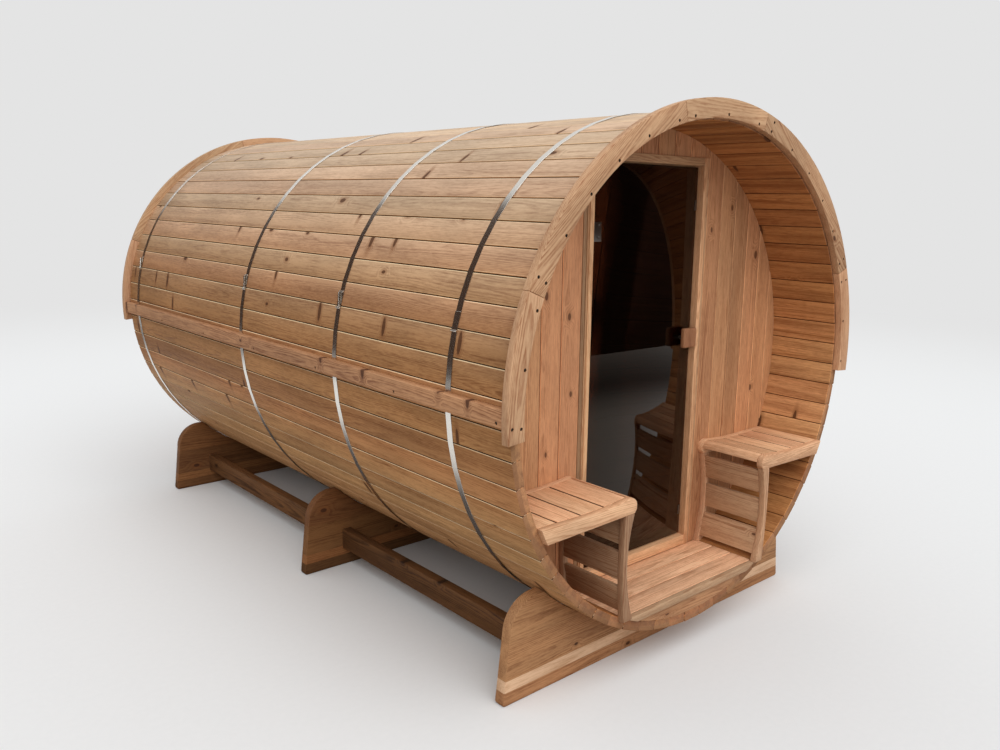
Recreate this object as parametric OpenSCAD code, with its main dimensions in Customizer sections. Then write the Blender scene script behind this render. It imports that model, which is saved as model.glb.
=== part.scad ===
// Barrel sauna: a lying barrel of wooden staves on three cradles. The front has an open
// porch with two benches, and a glass door leads through the porch wall into one room.
// The front is at -Y, +X is to the right and +Z is up. The origin is on the ground,
// under the middle of the barrel. All sizes are in millimetres.

/* [Barrel] */
// Overall length, over the front and rear fascias
overall_l = 3466; // [3000:10:4600]
// Distance from the barrel's axis to the outer flats of the staves
barrel_r = 975; // [850:5:1200]
// Thickness of the staves
stave_t = 40; // [28:1:50]
// Height of the lowest stave above the ground
ground_gap = 115; // [90:1:180]

/* [Fascias and eaves boards] */
// Thickness of a fascia along the barrel
fascia_t = 30; // [18:1:45]
// Width of a fascia across its face
fascia_w = 69; // [45:1:110]
// How far a fascia stands out past the staves
fascia_overhang = 35; // [32:1:70]
// Angle by which a fascia's ends reach below the barrel's axis, in degrees
fascia_end_angle = 4.4; // [2:0.1:10]
// Width of the open joint between two boards of a fascia
fascia_joint = 1; // [0.5:0.1:4]
// Height of an eaves board
eaves_h = 60; // [30:1:90]
// Thickness of an eaves board
eaves_t = 30; // [15:1:31]

/* [Steel hoops] */
// Width of a hoop
hoop_w = 28; // [15:1:45]
// Thickness of a hoop
hoop_t = 1.2; // [0.6:0.1:3]
// Distance from the front to the middle of the second hoop
hoop_2_y = 1076; // [700:2:1400]
// Distance from the front to the middle of the third hoop
hoop_3_y = 1921; // [1700:2:2400]
// Distance from the rear to the middle of the last hoop
hoop_4_rear = 173; // [80:1:195]

/* [Cradles] */
// Width of a cradle at the ground
cradle_w = 1720; // [1500:10:2200]
// Height of a cradle's shoulders
cradle_h = 384; // [320:2:460]
// Thickness of a cradle
cradle_t = 46; // [30:1:70]
// How much each side of a cradle leans in, up to its rounded shoulder
cradle_lean = 30; // [0:1:60]
// Radius of a cradle's rounded shoulders
cradle_shoulder_r = 130; // [60:1:150]
// Radius of a cradle's rounded feet
cradle_foot_r = 12; // [4:1:30]
// Distance from the front to the front cradle
front_cradle_y = 181; // [80:1:260]
// Distance from the front to the middle cradle
middle_cradle_y = 1611; // [1400:1:1700]
// Distance from the rear to the rear cradle's front face
rear_cradle_rear = 264; // [240:1:500]
// Distance from the barrel's axis to a rail's outer face
rail_x = 660; // [500:1:700]
// Height of a rail
rail_h = 96; // [60:1:120]
// Thickness of a rail
rail_t = 45; // [25:1:60]
// Height of a rail's underside above the ground
rail_z = 86; // [20:1:110]

/* [Walls and floors] */
// Distance from the front to the porch wall
porch_l = 340; // [300:5:600]
// Thickness of the porch wall and the rear wall
wall_t = 42; // [28:1:60]
// Distance from the rear ends of the staves to the rear wall
rear_recess = 60; // [20:1:150]
// Height of the floors above the lowest stave's inner face
floor_rise = 94; // [80:1:140]
// Thickness of the floors
floor_t = 28; // [18:1:40]
// Distance from the front to the edge of the porch floor
porch_floor_y = 18; // [5:1:40]
// Thickness of the apron under the edge of the porch floor
apron_t = 28; // [15:1:45]

/* [Door] */
// Width over the door frame
frame_w = 730; // [600:2:780]
// Face width of a door jamb
jamb_w = 46; // [35:1:70]
// Height of the door header
header_h = 32; // [25:1:60]
// Height of the door sill
sill_h = 47; // [30:1:70]
// Depth of the door frame through the wall
frame_d = 60; // [50:1:90]
// How far the door frame stands out from the porch wall
frame_proud = 8; // [3:1:20]
// Distance from the barrel's inner crown to the top of the door frame
head_gap = 106; // [80:1:160]
// Width of the stop around the inside of the door frame
stop_w = 12; // [8:1:15]
// Thickness of the door glass
glass_t = 8; // [6:1:10]
// Distance from the front of the door frame back to the glass
glass_recess = 28; // [24:1:30]
// Gap around the glass
glass_gap = 5; // [5:0.5:8]
// Gap between the hinge side of the glass and its jamb
hinge_gap = 7; // [7:0.5:9]
// Height of a hinge
hinge_h = 72; // [50:1:100]
// Width of a hinge's plates
hinge_w = 52; // [35:1:70]
// Distance from an end of the glass to the middle of a hinge
hinge_inset = 256; // [150:1:350]
// Width of the outer handle block
handle_w = 82; // [50:1:100]
// Height of the handle blocks
handle_h = 82; // [50:1:160]
// Thickness of a handle block
handle_t = 24; // [18:1:30]
// Distance from the glass to the outer handle block
handle_gap = 18; // [5:1:30]
// Distance from the glass to the inner handle block
inner_handle_gap = 32; // [5:1:34]
// Height of the handle's middle above the floor
handle_rise = 937; // [850:1:1050]

/* [Porch benches] */
// Clear width between the two bench fronts
aisle_w = 778; // [740:2:820]
// Height of the bench fronts above the floor
seat_h = 471; // [390:1:500]
// Height of a seat rail
seat_rail_h = 60; // [45:1:80]
// Thickness of a bench frame
bench_frame_t = 28; // [20:1:40]
// Thickness of the slats
slat_t = 20; // [15:1:28]
// Width of a seat slat
slat_w = 104; // [80:1:110]
// Gap between two seat slats
slat_gap = 8; // [4:1:15]
// Width of the narrow slat at a bench's front edge
nose_w = 31; // [25:1:45]
// Height of a skirt slat
skirt_h = 104; // [60:1:108]
// Gap between two skirt slats
skirt_gap = 30; // [15:1:36]

/* [Hidden] */

// Clearance between two pieces that fit together
fit = 0.3;

// Barrel
stave_n = 64;
stave_a = 360 / stave_n;
inner_r = barrel_r - stave_t;
corner_scale = 1 / cos(stave_a / 2);
axis_z = barrel_r + ground_gap;
front_y = -overall_l / 2;
rear_y = overall_l / 2;
stave_front_y = front_y + fascia_t;
stave_rear_y = rear_y - fascia_t;
// Half of the staves in the four shell parts that are centred on an axis
side_half_n = 4.5;
side_half_a = side_half_n * stave_a;
reach = 2 * barrel_r;

// Walls and floors
porch_wall_y = front_y + porch_l;
room_front_y = porch_wall_y + wall_t;
rear_wall_y = stave_rear_y - rear_recess - wall_t;
floor_z = ground_gap + stave_t + floor_rise;
wall_r = inner_r - fit;

// Hoops
hoop_y = [porch_wall_y, front_y + hoop_2_y, front_y + hoop_3_y, rear_y - hoop_4_rear];
groove_clear = 1;

// Fascias: the joints' angles from +X, symmetric about the crown
fascia_ro = barrel_r + fascia_overhang;
fascia_ri = fascia_ro - fascia_w;
fascia_split_low = 22.5;
fascia_split_high = 76;
fascia_angles = [
    -fascia_end_angle, fascia_split_low, fascia_split_high,
    180 - fascia_split_high, 180 - fascia_split_low, 180 + fascia_end_angle
];
fascia_joint_a = fascia_joint / 2 / fascia_ro * 180 / PI;

// Cradles
cradle_y = [front_y + front_cradle_y, front_y + middle_cradle_y, rear_y - rear_cradle_rear];
shoulder_x = cradle_w / 2 - cradle_lean - cradle_shoulder_r;
shoulder_z = cradle_h - cradle_shoulder_r;

// Door
frame_top_z = axis_z + inner_r - head_gap;
frame_y = porch_wall_y - frame_proud;
open_x = frame_w / 2 - jamb_w;
open_z0 = floor_z + sill_h;
open_z1 = frame_top_z - header_h;
glass_y = frame_y + glass_recess;
glass_back_y = glass_y + glass_t;
stop_y = glass_back_y + glass_gap;
stop_d = frame_y + frame_d - stop_y;
glass_x0 = -open_x + hinge_gap;
glass_x1 = open_x - glass_gap;
glass_z0 = open_z0 + glass_gap;
glass_z1 = open_z1 - glass_gap;

// Hinges: the pin stands in front of the glass, at its edge. The clamp's plates run from
// clear of the knuckle and of the stop, over the glass
hinge_z = [glass_z0 + hinge_inset, glass_z1 - hinge_inset];
pin_offset = 9;
knuckle_clear = 2;
swing_clear = 9;
plate_t = 4;
leaf_t = 3;
leaf_w = 10;
knuckle_r = 6;
knuckle_gap = 1;
pin_r = 2.5;
pin_clear = 0.1;
pin_stop = 2;
pin_x = glass_x0;
pin_y = glass_y - pin_offset;
plate_x0 = pin_x + knuckle_r + knuckle_clear;
plate_x1 = pin_x + hinge_w + knuckle_r;
back_plate_x0 = -open_x + stop_w + swing_clear;

// Handle: its outer block overlaps the stop, its inner block clears it
spacer_r = 8;
handle_z = floor_z + handle_rise;
jamb_clear = 8;
stop_clear = 7;
handle_x1 = open_x - jamb_clear;
handle_x0 = handle_x1 - handle_w;
inner_handle_x1 = open_x - stop_w - stop_clear;
spacer_inset = 20;

// Benches, drawn on the right side and mirrored for the left one
nose_x = aisle_w / 2;
seat_z = floor_z + seat_h;
nose_r = 32;
leg_top_z = seat_z - seat_rail_h;
leg_top_in = 10;
leg_w_top = 47;
leg_w_foot = 50;
leg_hollow = 34;
leg_back_hollow = 8;
leg_steps = 12;
seat_dip = 16;
seat_wall_drop = 14;
bench_setback = 8;
bench_y0 = front_y + bench_setback;
bench_front_y1 = bench_y0 + bench_frame_t;
bench_back_y0 = porch_wall_y - bench_frame_t;
skirt_inset = 4;
// As many skirt slats as fit between the floor and the seat rail
skirt_n = floor((leg_top_z - floor_z) / (skirt_h + skirt_gap));
// As many full seat slats as fit between the nose slat and the barrel
slat_x0 = nose_x + nose_w + slat_gap;
seat_reach_x = sqrt(pow(wall_r, 2) - pow(axis_z - seat_z, 2));
full_slats = floor((seat_reach_x - slat_x0) / (slat_w + slat_gap));

// ---------- Helpers ----------

// Points of an arc around c, from angle a0 to a1
function arc(c, r, a0, a1, n) = [
    for (i = [0:n]) let (a = a0 + (a1 - a0) * i / n) [c[0] + r * cos(a), c[1] + r * sin(a)]
];

// Extrudes an outline drawn in X and Z along Y, from y0 over a length
module along_y(y0, len)
    translate([0, y0 + len, 0]) rotate([90, 0, 0]) linear_extrude(height = len) children();

// A disc around the barrel's axis
module barrel_disc(r)
    translate([0, axis_z]) circle(r = r, $fn = 360);

// A sector around the barrel's axis, from angle a0 to a1
module sector(a0, a1)
    translate([0, axis_z]) polygon(concat([[0, 0]], arc([0, 0], reach, a0, a1, 2)));

// A rectangle from corner a to corner b
module rect(a, b)
    translate(a) square(b - a);

// A box from corner a to corner b
module block(a, b)
    translate(a) cube(b - a);

// The same piece on the left side
module left_side()
    mirror([1, 0, 0]) children();

// ---------- Barrel ----------

// A run of n staves that starts at angle a0: flat inside and outside
module stave_run(a0, n)
    color("#b98d62")
    along_y(stave_front_y, stave_rear_y - stave_front_y)
    translate([0, axis_z])
    polygon(concat(
        arc([0, 0], barrel_r * corner_scale, a0, a0 + n * stave_a, n),
        arc([0, 0], inner_r * corner_scale, a0 + n * stave_a, a0, n)
    ));

// The shell parts at the crown, sides and bottom have two more staves than those between
module axis_part(a)
    stave_run(a - side_half_a, 2 * side_half_n);

module corner_part(a)
    stave_run(a - 45 + side_half_a, stave_n / 4 - 2 * side_half_n);

module barrel_top() axis_part(90);
module barrel_left() axis_part(180);
module barrel_bottom() axis_part(270);
module barrel_right() axis_part(0);
module barrel_upper_left() corner_part(135);
module barrel_lower_left() corner_part(225);
module barrel_lower_right() corner_part(315);
module barrel_upper_right() corner_part(45);

// The outline of the staves, grown by t
module stave_outline(t)
    translate([0, axis_z])
    polygon([for (i = [0:stave_n - 1]) let (a = (i + 0.5) * stave_a)
        (barrel_r + t) * corner_scale * [cos(a), sin(a)]]);

// One steel hoop around the staves
module hoop(y)
    color("#a9a8a4")
    along_y(y - hoop_w / 2, hoop_w)
    difference() {
        stave_outline(hoop_t);
        stave_outline(0);
    }

// ---------- Fascias and eaves boards ----------

// Five curved boards in a row, cut square at their joints
module fascia(y)
    color("#c69a76")
    along_y(y, fascia_t)
    for (i = [0:len(fascia_angles) - 2])
        intersection() {
            difference() {
                barrel_disc(fascia_ro);
                barrel_disc(fascia_ri);
            }
            sector(fascia_angles[i] + (i > 0 ? fascia_joint_a : 0),
                fascia_angles[i + 1] - (i < len(fascia_angles) - 2 ? fascia_joint_a : 0));
        }

// The board along the right side, grooved over the hoops
module right_eaves_board()
    color("#c09471")
    difference() {
        block([barrel_r, stave_front_y, axis_z - eaves_h / 2],
            [barrel_r + eaves_t, stave_rear_y, axis_z + eaves_h / 2]);
        for (y = hoop_y)
            block([0, y - hoop_w / 2 - groove_clear, axis_z - eaves_h],
                [barrel_r + hoop_t + fit, y + hoop_w / 2 + groove_clear, axis_z + eaves_h]);
    }

// ---------- Walls and floors ----------

module wall_board(y, a, b)
    color("#c38e63")
    along_y(y, wall_t)
    intersection() {
        barrel_disc(wall_r);
        rect(a, b);
    }

module porch_wall_right()
    wall_board(porch_wall_y, [frame_w / 2, 0], [reach, 2 * reach]);

module porch_wall_over_door()
    wall_board(porch_wall_y, [-frame_w / 2, frame_top_z], [frame_w / 2, 2 * reach]);

module porch_wall_below_door()
    wall_board(porch_wall_y, [-frame_w / 2, 0], [frame_w / 2, floor_z]);

module rear_wall()
    wall_board(rear_wall_y, [-reach, 0], [reach, 2 * reach]);

module floor_boards(y0, y1)
    color("#c9986e")
    along_y(y0, y1 - y0)
    intersection() {
        barrel_disc(wall_r);
        rect([-reach, floor_z - floor_t], [reach, floor_z]);
    }

module porch_floor() floor_boards(front_y + porch_floor_y, porch_wall_y);
module room_floor() floor_boards(room_front_y, rear_wall_y);

// Closes the end of the space under the porch floor
module porch_apron()
    color("#8f6a4c")
    along_y(stave_front_y, apron_t)
    intersection() {
        barrel_disc(wall_r);
        rect([-reach, 0], [reach, floor_z - floor_t]);
    }

// ---------- Door frame ----------

module door_jamb_right()
    color("#c99a70")
    union() {
        block([open_x, frame_y, floor_z], [frame_w / 2, frame_y + frame_d, frame_top_z]);
        block([open_x - stop_w, stop_y, floor_z], [open_x, stop_y + stop_d, frame_top_z]);
    }

module door_header()
    color("#c99a70")
    union() {
        block([-open_x, frame_y, open_z1], [open_x, stop_y, frame_top_z]);
        block([-open_x + stop_w, stop_y, open_z1 - stop_w],
            [open_x - stop_w, stop_y + stop_d, frame_top_z]);
    }

module door_sill()
    color("#c99a70")
    union() {
        block([-open_x, frame_y, floor_z], [open_x, stop_y, open_z0]);
        block([-open_x + stop_w, stop_y, floor_z],
            [open_x - stop_w, stop_y + stop_d, open_z0 + stop_w]);
    }

// ---------- Door ----------

module door_glass()
    color("#2a1f1a", 0.75)
    block([glass_x0, glass_y, glass_z0], [glass_x1, glass_back_y, glass_z1]);

module handle_block(x0, x1, y)
    block([x0, y, handle_z - handle_h / 2], [x1, y + handle_t, handle_z + handle_h / 2]);

// Two spacers between the glass and a handle block
module handle_spacers(y, length)
    for (x = [handle_x0 + spacer_inset, inner_handle_x1 - spacer_inset])
        translate([x, y + length, handle_z]) rotate([90, 0, 0])
        cylinder(h = length, r = spacer_r, $fn = 48);

module door_handle()
    color("#b8845c") {
        handle_block(handle_x0, handle_x1, glass_y - handle_gap - handle_t);
        handle_spacers(glass_y - handle_gap, handle_gap);
        handle_spacers(glass_back_y, inner_handle_gap);
        handle_block(handle_x0, inner_handle_x1, glass_back_y + inner_handle_gap);
    }

// A leaf on the left jamb, with the lower knuckle and the pin
module hinge_bracket(z)
    union() {
        block([-open_x, pin_y - knuckle_r - leaf_w, z - hinge_h / 2],
            [-open_x + leaf_t, pin_y - knuckle_r, z + hinge_h / 2]);
        block([-open_x, pin_y - knuckle_r - leaf_t, z - hinge_h / 2],
            [pin_x, pin_y, z - knuckle_gap]);
        translate([pin_x, pin_y, z - hinge_h / 2])
            cylinder(h = hinge_h / 2 - knuckle_gap, r = knuckle_r, $fn = 48);
        translate([pin_x, pin_y, z - hinge_h / 2])
            cylinder(h = hinge_h - pin_stop, r = pin_r, $fn = 32);
    }

module hinge_brackets()
    color("#8d8c88")
    for (z = hinge_z)
        hinge_bracket(z);

// A plate on each face of the glass; the front one carries the upper knuckle
module hinge_clamp(z) {
    difference() {
        union() {
            block([plate_x0, glass_y - plate_t, z - hinge_h / 2],
                [plate_x1, glass_y, z + hinge_h / 2]);
            block([pin_x, pin_y + pin_r, z + knuckle_gap],
                [plate_x0 + plate_t, glass_y, z + hinge_h / 2]);
            translate([pin_x, pin_y, z + knuckle_gap])
                cylinder(h = hinge_h / 2 - knuckle_gap, r = knuckle_r, $fn = 48);
        }
        translate([pin_x, pin_y, z])
            cylinder(h = hinge_h, r = pin_r + pin_clear, $fn = 32);
    }
    block([back_plate_x0, glass_back_y, z - hinge_h / 2],
        [plate_x1, glass_back_y + plate_t, z + hinge_h / 2]);
}

module hinge_clamps()
    color("#a2a19c")
    for (z = hinge_z)
        hinge_clamp(z);

// ---------- Porch benches ----------

// Height of the seat's top at x: level over the nose, then dished, lower at the barrel
function seat_top(x) =
    let (t = max(0, (x - nose_x - nose_r) / (inner_r - nose_x - nose_r)))
    seat_z - seat_wall_drop * t - seat_dip * 4 * t * (1 - t) * (1 - t);

// The leg's edge on the aisle, and its edge on the barrel side, at height z
function leg_t(z) = (leg_top_z - z) / (leg_top_z - floor_z);
function leg_x(z) =
    let (t = leg_t(z)) nose_x + leg_top_in * (1 - t) + leg_hollow * 4 * t * (1 - t);
function leg_back_x(z) =
    let (t = leg_t(z))
    nose_x + leg_top_in * (1 - t) + leg_w_top + (leg_w_foot - leg_w_top) * t
        + leg_back_hollow * 4 * t * (1 - t);
function leg_z(i) = leg_top_z + (floor_z - leg_top_z) * i / leg_steps;

// The seat's edge, from under its rounded nose over its dished top to the barrel
function seat_edge() = concat(
    arc([nose_x + nose_r, seat_z - nose_r], nose_r, 190, 90, 8),
    [for (i = [1:leg_steps])
        let (x = nose_x + nose_r + (inner_r - nose_x - nose_r) * i / leg_steps) [x, seat_top(x)]],
    [[inner_r, seat_top(inner_r) - seat_rail_h]]
);

// A seat rail alone
module seat_rail_outline()
    polygon(concat(seat_edge(), [[leg_x(leg_top_z), leg_top_z]]));

// A seat rail and its leg, in one piece
module bench_frame_outline()
    polygon(concat(
        seat_edge(),
        [for (i = [0:leg_steps]) [leg_back_x(leg_z(i)), leg_z(i)]],
        [for (i = [leg_steps:-1:0]) [leg_x(leg_z(i)), leg_z(i)]]
    ));

module bench_frame(y)
    color("#cc9f78")
    along_y(y, bench_frame_t)
    intersection() {
        bench_frame_outline();
        barrel_disc(wall_r);
    }

// A slat from x0 to x1 whose top follows the seat
module seat_slat(x0, x1)
    intersection() {
        seat_rail_outline();
        rect([x0, seat_top(x0) - slat_t], [x1, seat_z]);
        barrel_disc(wall_r);
    }

function slat_x(i) = slat_x0 + i * (slat_w + slat_gap);

module bench_seat()
    color("#cf9c74")
    along_y(bench_front_y1, bench_back_y0 - bench_front_y1) {
        seat_slat(nose_x, nose_x + nose_w);
        for (i = [0:full_slats - 1])
            seat_slat(slat_x(i), slat_x(i) + slat_w);
        seat_slat(slat_x(full_slats), inner_r);
    }

function skirt_z(i) = floor_z + skirt_gap + i * (skirt_h + skirt_gap);

module bench_skirt()
    color("#c8946c")
    along_y(bench_front_y1, bench_back_y0 - bench_front_y1)
    for (i = [0:skirt_n - 1]) {
        z0 = skirt_z(i);
        z1 = z0 + skirt_h;
        polygon([
            [leg_x(z0) + skirt_inset, z0], [leg_x(z1) + skirt_inset, z1],
            [leg_x(z1) + skirt_inset + slat_t, z1], [leg_x(z0) + skirt_inset + slat_t, z0]
        ]);
    }

// ---------- Cradles and rails ----------

// The outline of a cradle's right end, from its foot up to its shoulder
function cradle_end() = concat(
    arc([cradle_w / 2 - cradle_foot_r, cradle_foot_r], cradle_foot_r, -90, 0, 4),
    arc([shoulder_x, shoulder_z], cradle_shoulder_r, 0, 90, 12)
);

module cradle(y)
    color("#a9764c")
    along_y(y, cradle_t)
    difference() {
        polygon(concat(
            cradle_end(),
            [for (i = [len(cradle_end()) - 1:-1:0]) [-cradle_end()[i][0], cradle_end()[i][1]]]
        ));
        barrel_disc(barrel_r * corner_scale + fit);
    }

// The two rails on the right, one in each bay between the cradles
module right_rails()
    color("#7d5230")
    for (i = [0:len(cradle_y) - 2])
        block([rail_x - rail_t, cradle_y[i] + cradle_t, rail_z],
            [rail_x, cradle_y[i + 1], rail_z + rail_h]);

// ---------- Pieces ----------

barrel_top();
barrel_upper_left();
barrel_left();
barrel_lower_left();
barrel_bottom();
barrel_lower_right();
barrel_right();
barrel_upper_right();
hoop(hoop_y[0]);  // hoop_1
hoop(hoop_y[1]);  // hoop_2
hoop(hoop_y[2]);  // hoop_3
hoop(hoop_y[3]);  // hoop_4
fascia(front_y);  // front_fascia
fascia(stave_rear_y);  // rear_fascia
left_side() right_eaves_board();  // left_eaves_board
right_eaves_board();
left_side() porch_wall_right();  // porch_wall_left
porch_wall_right();
porch_wall_over_door();
porch_wall_below_door();
rear_wall();
left_side() door_jamb_right();  // door_jamb_left
door_jamb_right();
door_header();
door_sill();
porch_floor();
room_floor();
porch_apron();
left_side() bench_frame(bench_y0);  // left_bench_front_frame
left_side() bench_frame(bench_back_y0);  // left_bench_back_frame
left_side() bench_seat();  // left_bench_seat
left_side() bench_skirt();  // left_bench_skirt
bench_frame(bench_y0);  // right_bench_front_frame
bench_frame(bench_back_y0);  // right_bench_back_frame
bench_seat();  // right_bench_seat
bench_skirt();  // right_bench_skirt
cradle(cradle_y[0]);  // front_cradle
cradle(cradle_y[1]);  // middle_cradle
cradle(cradle_y[2]);  // rear_cradle
left_side() right_rails();  // left_rails
right_rails();
hinge_brackets();
door_glass();
door_handle();
hinge_clamps();
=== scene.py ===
import math
import random

import bpy
from mathutils import Matrix, Vector


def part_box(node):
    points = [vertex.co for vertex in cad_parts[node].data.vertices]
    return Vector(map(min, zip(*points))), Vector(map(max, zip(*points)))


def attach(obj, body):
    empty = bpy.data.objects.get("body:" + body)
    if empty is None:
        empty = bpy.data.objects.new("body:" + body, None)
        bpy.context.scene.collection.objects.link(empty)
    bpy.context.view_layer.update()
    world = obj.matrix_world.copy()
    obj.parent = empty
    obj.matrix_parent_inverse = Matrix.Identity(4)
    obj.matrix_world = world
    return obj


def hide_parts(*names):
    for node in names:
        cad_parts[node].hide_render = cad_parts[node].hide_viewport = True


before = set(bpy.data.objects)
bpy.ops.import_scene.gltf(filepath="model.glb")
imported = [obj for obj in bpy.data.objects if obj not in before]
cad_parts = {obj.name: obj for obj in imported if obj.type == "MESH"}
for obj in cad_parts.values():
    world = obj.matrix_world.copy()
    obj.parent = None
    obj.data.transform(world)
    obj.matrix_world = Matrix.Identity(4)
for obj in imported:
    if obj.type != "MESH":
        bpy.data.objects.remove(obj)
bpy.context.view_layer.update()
chance = random.Random(11)

# ---------- Measures, in metres ----------

STAVE_LOW, STAVE_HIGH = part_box("barrel_left")
BARREL_R = -STAVE_LOW.x
AXIS = Vector((0, 0, (STAVE_LOW.z + STAVE_HIGH.z) / 2))
STAVE_Y0, STAVE_Y1 = STAVE_LOW.y, STAVE_HIGH.y
STAVE_N = 64
STAVE_A = math.tau / STAVE_N
STAVE_T = 0.040
INNER_R = BARREL_R - STAVE_T
# Walls and floors are sawn a hair smaller than the barrel's inside
WALL_R = INNER_R - 0.0003
# The open line between two staves: its depth, and half of its width at the outer face
SLOT_DEPTH = 0.006
SLOT_HALF = 0.0032
# Two places closer than this count as the same
SAME = 0.001
# How far a tool reaches past the piece that it cuts
REACH = 0.01
# Wear and painted light over a board: plain wood, a weathered face, its worn edges with a painted
# highlight, and painted shade down in a joint. A stave's inner joint counts the other way.
PLAIN, WEATHERED, WORN_AND_LIT, SHADED_JOINT = 0.0, 1.0, 2.0, 3.0
INNER_WORN_AND_LIT, INNER_SHADED_JOINT = -1.1, -3.0
# Directions, where the front faces forwards
ACROSS, LENGTHWISE, UPRIGHT = (1, 0, 0), (0, 1, 0), (0, 0, 1)
FORWARDS = (0, -1, 0)


# ---------- Modelling helpers ----------

def select_none():
    bpy.ops.object.select_all(action="DESELECT")


def only(ob):
    """Selects one object and makes it the active one."""
    select_none()
    ob.select_set(True)
    bpy.context.view_layer.objects.active = ob


def named(name):
    """Puts the new primitive's place into its mesh and names it."""
    bpy.ops.object.transform_apply(location=True, rotation=True, scale=True)
    ob = bpy.context.object
    ob.name = name
    ob.data.name = name
    return ob


def block(name, a, b):
    """A block between two corners."""
    a, b = Vector(a), Vector(b)
    select_none()
    size = Vector([abs(s) for s in b - a])
    bpy.ops.mesh.primitive_cube_add(size=1, location=(a + b) / 2, scale=size)
    return named(name)


def rod(name, centre, radius, length, axis="Y", sides=32):
    """A round bar, centred on a point, along an axis."""
    turn = {"X": (0, math.pi / 2, 0), "Y": (math.pi / 2, 0, 0), "Z": (0, 0, 0)}[axis]
    select_none()
    bpy.ops.mesh.primitive_cylinder_add(
        vertices=sides, radius=radius, depth=length, location=centre, rotation=turn)
    return named(name)


def shape(ob, test, tool, kind="faces", **settings):
    """Runs one edit mode tool on the faces, edges or corners that pass a test."""
    only(ob)
    mesh = ob.data
    for group in (mesh.vertices, mesh.edges, mesh.polygons):
        group.foreach_set("select", [False] * len(group))
    if kind == "faces":
        for face in mesh.polygons:
            face.select = bool(test(face.center, face.normal))
    elif kind == "edges":
        for edge in mesh.edges:
            a, b = (mesh.vertices[i].co for i in edge.vertices)
            edge.select = bool(test(a, b))
    else:
        for corner in mesh.vertices:
            corner.select = bool(test(corner.co))
    modes = (kind == "corners", kind == "edges", kind == "faces")
    bpy.context.tool_settings.mesh_select_mode = modes
    bpy.ops.object.mode_set(mode="EDIT")
    tool(**settings)
    bpy.ops.object.mode_set(mode="OBJECT")
    return ob


def everything(*_):
    return True


def slice_at(ob, point, normal, **settings):
    """Cuts all the faces of a piece along a plane."""
    return shape(ob, everything, bpy.ops.mesh.bisect,
                 plane_co=point, plane_no=normal, **settings)


def outwards(ob):
    """Makes all faces of a closed piece point outwards."""
    return shape(ob, everything, bpy.ops.mesh.normals_make_consistent, inside=False)


def eased(ob, test, width, segments=1):
    """Takes off the long edges that pass a test."""
    return shape(ob, test, bpy.ops.mesh.bevel, "edges", offset=width, segments=segments,
                 affect="EDGES")


def move_corners(ob, rule):
    """Moves each corner of a piece to where a rule puts it."""
    for corner in ob.data.vertices:
        corner.co = rule(corner.co.copy())
    return ob


def soften(ob, width, segments=2, angle=35):
    """Rounds the sharp edges of a piece."""
    only(ob)
    bpy.ops.object.modifier_add(type="BEVEL")
    tool = ob.modifiers[-1]
    tool.width = width
    tool.segments = segments
    tool.limit_method = "ANGLE"
    tool.angle_limit = math.radians(angle)
    tool.use_clamp_overlap = True
    bpy.ops.object.modifier_apply(modifier=tool.name)
    return ob


def trim(ob, cutter, operation="DIFFERENCE", keep_cutter=False):
    """Cuts a piece with another one."""
    only(ob)
    bpy.ops.object.modifier_add(type="BOOLEAN")
    tool = ob.modifiers[-1]
    tool.operation = operation
    tool.solver = "EXACT"
    tool.object = cutter
    bpy.ops.object.modifier_apply(modifier=tool.name)
    if not keep_cutter:
        bpy.data.objects.remove(cutter)
    return ob


def copy_of(ob):
    """A copy with a mesh of its own."""
    only(ob)
    bpy.ops.object.duplicate(linked=False)
    return bpy.context.object


def placed(ob, matrix):
    """Puts a piece where a matrix says, with its place in its mesh."""
    only(ob)
    ob.matrix_world = matrix
    bpy.ops.object.transform_apply(location=True, rotation=True, scale=True)
    return ob


def turned(ob, angle, centre=AXIS, axis="Y"):
    """Turns a piece about a line through a point."""
    spot = Matrix.Translation(centre)
    return placed(ob, spot @ Matrix.Rotation(angle, 4, axis) @ spot.inverted())


def joined(parts):
    """Joins parts into one piece."""
    select_none()
    for part in parts:
        part.select_set(True)
    bpy.context.view_layer.objects.active = parts[0]
    if len(parts) > 1:
        bpy.ops.object.join()
    return parts[0]


def painted(ob, material):
    """Gives a part its material."""
    ob.data.materials.clear()
    ob.data.materials.append(material)
    return ob


def grained(ob, material, along, face, wear_and_painted_light=None, tone=None, depth=(0.02, 0.09)):
    """Gives a board its material, and the grain of the plank it was sawn from.

    along runs with the fibres and face points out of the wide side. Each board lies at
    its own place in its own log, so no two boards look alike. A code at each corner says how worn
    it is and which corners get painted highlight and painted shade, and tone how pale the board is,
    from 0 to 1."""
    painted(ob, material)
    along, face = Vector(along).normalized(), Vector(face).normalized()
    across = along.cross(face)
    mesh = ob.data
    corners = [corner.co for corner in mesh.vertices]
    middle = (Vector(map(min, *corners)) + Vector(map(max, *corners))) / 2
    shift = Vector((chance.uniform(-0.05, 0.05), chance.uniform(*depth), chance.uniform(0, 60)))
    board = (chance.random() if tone is None else tone, chance.random())
    grain = mesh.attributes.new("grain", "FLOAT_VECTOR", "POINT")
    timber = mesh.attributes.new("board", "FLOAT_VECTOR", "POINT")
    for index, corner in enumerate(corners):
        d = corner - middle
        grain.data[index].vector = Vector((d.dot(across), d.dot(face), d.dot(along))) + shift
        timber.data[index].vector = (*board, wear_and_painted_light(corner) if wear_and_painted_light else 0.0)
    return ob


def installed(name, parts, nodes=(), body="root", angle=30):
    """Joins the parts of one piece, names and shades it, hangs it on its body and hides the model's
    parts that it stands for.
    """
    piece = joined(parts)
    piece.name = name
    piece.data.name = name
    only(piece)
    bpy.ops.object.shade_smooth_by_angle(angle=math.radians(angle))
    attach(piece, body)
    if nodes:
        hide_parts(*nodes)
    return piece


# ---------- Material helpers ----------

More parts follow.
